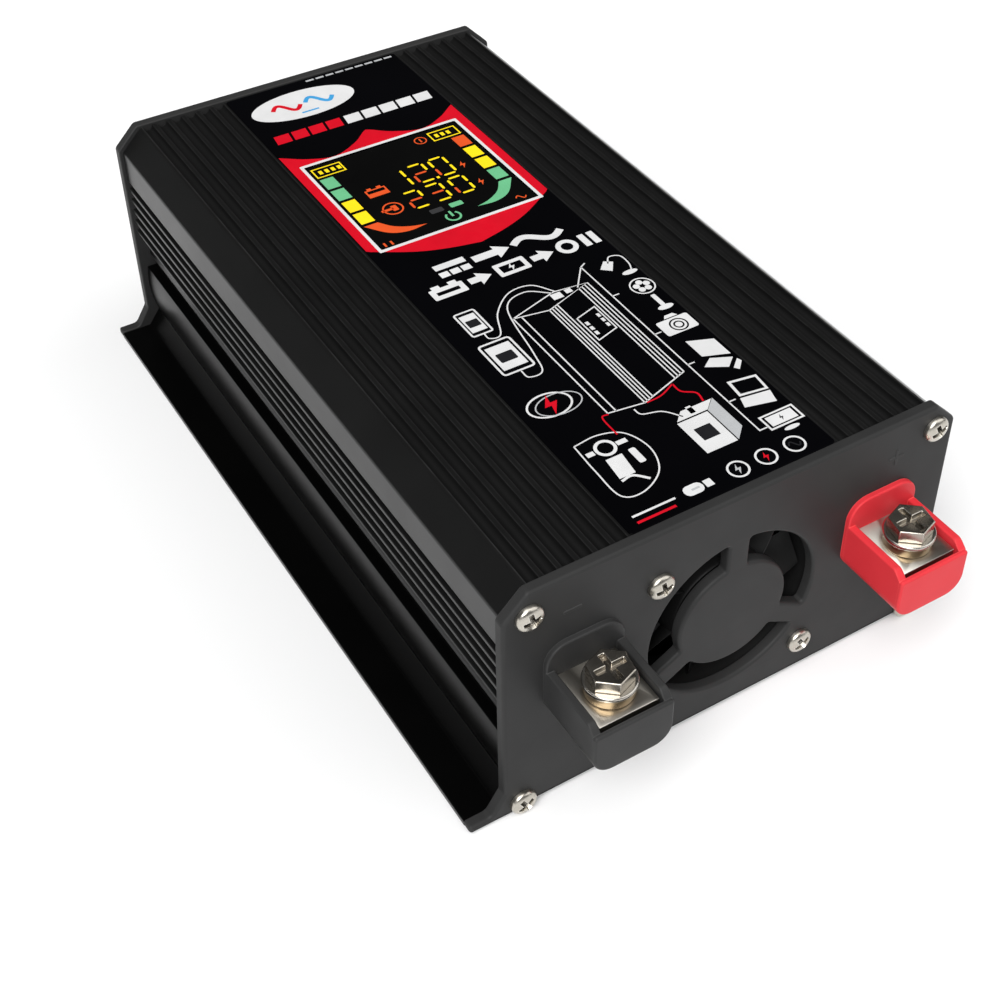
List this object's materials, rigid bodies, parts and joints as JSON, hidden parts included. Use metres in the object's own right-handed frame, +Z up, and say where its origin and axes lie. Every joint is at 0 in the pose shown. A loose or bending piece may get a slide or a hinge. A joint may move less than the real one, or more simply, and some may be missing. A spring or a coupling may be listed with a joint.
{
  "type": "power inverter",
  "caption": "Car power inverter in a finned black case with feet, fan and red and black screw terminals in front, mains socket and USB ports behind.",
  "frame": {"origin": "middle of the underside of the whole object, on the surface it stands on", "axes": "+X to the positive terminal, +Y to the rear panel with the mains socket, +Z up"},
  "size_m": [0.1206, 0.2078, 0.0602],
  "materials": {
    "anodised_black": "fine satin black anodised extrusion",
    "panel_plastic": "fine moulded texture, charcoal",
    "zinc_screw": "bright nickel plated steel",
    "label_film": "printed polycarbonate film, black ground",
    "window_lens": "clear acrylic lens",
    "display_black": "black display face",
    "circuit_board": "green solder resist",
    "ribbon_grey": "flat cable",
    "fan_plastic": "black moulded fan plastic",
    "magnet": "pressed ferrite ring",
    "steel": "ground steel",
    "bronze": "sintered bronze",
    "copper_winding": "enamelled copper wire",
    "terminal_black": "moulded charcoal plastic",
    "terminal_red": "moulded red plastic",
    "nickel_plate": "nickel plated copper bar",
    "brass": "turned brass",
    "spring_steel": "yellow zinc plated spring steel",
    "capacitor_sleeve": "shrunk sleeve",
    "fuse_green": "translucent fuse plastic",
    "ferrite": "dark ceramic ferrite",
    "winding_tape": "yellow polyester tape",
    "toroid_yellow": "painted iron powder ring",
    "bare_aluminium": "mill finish",
    "silicone_pad": "grey silicone pad",
    "package_epoxy": "moulded epoxy package",
    "film_block": "dipped film capacitor",
    "wire_red": "wire insulation",
    "wire_blue": "wire insulation",
    "socket_black": "moulded black plastic",
    "switch_red": "glossy red rocker",
    "usb_white": "white contact carrier",
    "light_lens": "tinted lamp lens"
  },
  "bodies": {
    "root": {"top_cover": "anodised_black", "base_tray": "anodised_black", "front_panel": "panel_plastic", "rear_panel": "panel_plastic", "front_panel_screws": "zinc_screw", "rear_panel_screws": "zinc_screw", "label": "label_film", "display_window": "window_lens", "display_module": "display_black", "display_board": "circuit_board", "display_ribbon": "ribbon_grey", "fan_frame": "fan_plastic", "fan_bearing": "bronze", "fan_stator": "copper_winding", "fan_screws": "zinc_screw", "negative_housing": "terminal_black", "positive_housing": "terminal_red", "negative_busbar": "nickel_plate", "positive_busbar": "nickel_plate", "terminal_nuts": "brass", "busbar_screws": "zinc_screw", "main_board": "circuit_board", "board_standoffs": "brass", "board_screws": "zinc_screw", "input_capacitors": "capacitor_sleeve", "blade_fuses": "fuse_green", "transformer_cores": "ferrite", "transformer_windings": "winding_tape", "bulk_capacitor": "capacitor_sleeve", "choke_core": "toroid_yellow", "choke_winding": "copper_winding", "heat_bars": "bare_aluminium", "insulation_pads": "silicone_pad", "power_transistors": "package_epoxy", "clamp_bars": "steel", "clamp_screws": "zinc_screw", "control_board": "circuit_board", "control_chips": "package_epoxy", "buzzer": "package_epoxy", "film_capacitor": "film_block", "control_leads": "wire_red", "ac_socket": "socket_black", "socket_contacts": "brass", "socket_leads": "wire_blue", "rocker_housing": "socket_black", "switch_terminals": "brass", "usb_shells": "zinc_screw", "usb_tongues": "usb_white", "usb_board": "circuit_board", "status_lights": "light_lens"},
    "fan_rotor_body": {"fan_rotor": "fan_plastic", "fan_magnet": "magnet", "fan_shaft": "steel"},
    "rocker": {"rocker_button": "switch_red"},
    "negative_washers": {"negative_spring_washer": "spring_steel", "negative_flat_washer": "zinc_screw"},
    "negative_bolt_body": {"negative_bolt": "zinc_screw"},
    "positive_washers": {"positive_spring_washer": "spring_steel", "positive_flat_washer": "zinc_screw"},
    "positive_bolt_body": {"positive_bolt": "zinc_screw"}
  },
  "joints": [
    {"name": "fan_spin", "type": "hinge", "parent": "root", "child": "fan_rotor_body", "pos_m": [0, -0.079, 0.028], "axis": [0, 1, 0], "continuous": true},
    {"name": "switch_rock", "type": "hinge", "parent": "root", "child": "rocker", "pos_m": [0.035, 0.0959, 0.031], "axis": [1, 0, 0], "range_deg": [0, 20]},
    {"name": "negative_bolt_lift", "type": "slide", "parent": "root", "child": "negative_washers", "axis": [0, 0, 1], "range_m": [0, 0.004]},
    {"name": "negative_bolt_turn", "type": "hinge", "parent": "negative_washers", "child": "negative_bolt_body", "pos_m": [-0.0354, -0.0955, 0.0403], "axis": [0, 0, 1], "range_deg": [0, 1800]},
    {"name": "positive_bolt_lift", "type": "slide", "parent": "root", "child": "positive_washers", "axis": [0, 0, 1], "range_m": [0, 0.004]},
    {"name": "positive_bolt_turn", "type": "hinge", "parent": "positive_washers", "child": "positive_bolt_body", "pos_m": [0.0354, -0.0955, 0.0403], "axis": [0, 0, 1], "range_deg": [0, 1800]}
  ],
  "couplings": [
    {"joint": "negative_bolt_turn", "follows": "negative_bolt_lift", "rad_per_m": 7854},
    {"joint": "positive_bolt_turn", "follows": "positive_bolt_lift", "rad_per_m": 7854}
  ]
}
